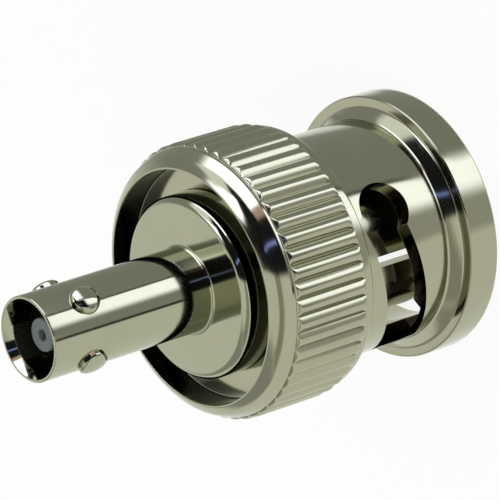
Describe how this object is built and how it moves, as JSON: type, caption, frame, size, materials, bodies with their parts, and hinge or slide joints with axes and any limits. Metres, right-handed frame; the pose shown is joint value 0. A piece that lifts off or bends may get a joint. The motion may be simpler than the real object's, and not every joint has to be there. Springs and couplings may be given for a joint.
{
  "type": "bnc connector",
  "caption": "Coaxial adapter: a bayonet plug with a ribbed, slotted coupling nut on one end and a miniature bayonet jack with side lugs on the other.",
  "frame": {"origin": "on the axis, in the plane of the plug's mouth, which is the face that the adapter stands on", "axes": "+Z along the axis, from the plug's mouth to the jack's mouth; -Y is the side that the picture is taken from"},
  "size_m": [0.0144, 0.0144, 0.025],
  "materials": {
    "nickel_plate": "turned and ribbed brass, bright nickel plate",
    "nickel_plate_body": "turned brass, bright nickel plate",
    "nickel_plate_contact": "turned and slit brass, nickel plate",
    "ptfe": "machined PTFE",
    "ptfe_grey": "machined PTFE, grey",
    "gold_plate": "turned brass, thin gold plate",
    "silicone_rubber": "moulded silicone rubber",
    "spring_steel": "rolled spring steel"
  },
  "bodies": {
    "adapter": {"jack_body": "nickel_plate_body", "plug_body": "nickel_plate_contact", "plug_insulator": "ptfe", "jack_insulator": "ptfe_grey", "centre_contact": "gold_plate", "gasket": "silicone_rubber", "wave_washer_lower": "spring_steel", "wave_washer_upper": "spring_steel"},
    "thrust_washer": {"flat_washer": "spring_steel"},
    "nut": {"coupling_nut": "nickel_plate"}
  },
  "joints": [
    {"name": "nut_pull", "type": "slide", "parent": "adapter", "child": "thrust_washer", "axis": [0, 0, -1], "range_m": [0, 0.0005], "stiffness_N_per_m": 4000, "springref_m": -0.0005, "deforming": ["wave_washer_lower", "wave_washer_upper"]},
    {"name": "nut_turn", "type": "hinge", "parent": "thrust_washer", "child": "nut", "pos_m": [0, 0, 0.0129], "axis": [0, 0, 1], "continuous": true}
  ]
}
